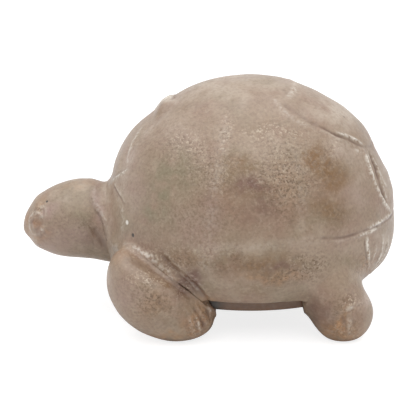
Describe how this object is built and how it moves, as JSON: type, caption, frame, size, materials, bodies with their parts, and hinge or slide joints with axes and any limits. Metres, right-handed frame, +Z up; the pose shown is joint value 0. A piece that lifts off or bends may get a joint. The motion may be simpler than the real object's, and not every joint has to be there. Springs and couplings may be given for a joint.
{
  "type": "turtle figurine",
  "caption": "Hand-built clay turtle ornament in a satin taupe glaze: tall hollow domed shell over a belly plate, round head on a collared neck, broad swept flippers, ball-shaped hind feet.",
  "frame": {"origin": "on the table under the middle of the whole length and width, at the soles of the feet", "axes": "+Z up, -X towards the snout, -Y towards the turtle's left side"},
  "size_m": [0.12, 0.078, 0.0775],
  "materials": {
    "taupe_glaze": "satin glaze"
  },
  "bodies": {
    "root": {"carapace": "taupe_glaze", "belly_plate": "taupe_glaze", "head_and_neck": "taupe_glaze", "neck_collar": "taupe_glaze", "left_eye": "taupe_glaze", "right_eye": "taupe_glaze", "front_left_flipper": "taupe_glaze", "front_right_flipper": "taupe_glaze", "rear_left_foot": "taupe_glaze", "rear_right_foot": "taupe_glaze", "tail": "taupe_glaze"}
  },
  "joints": []
}
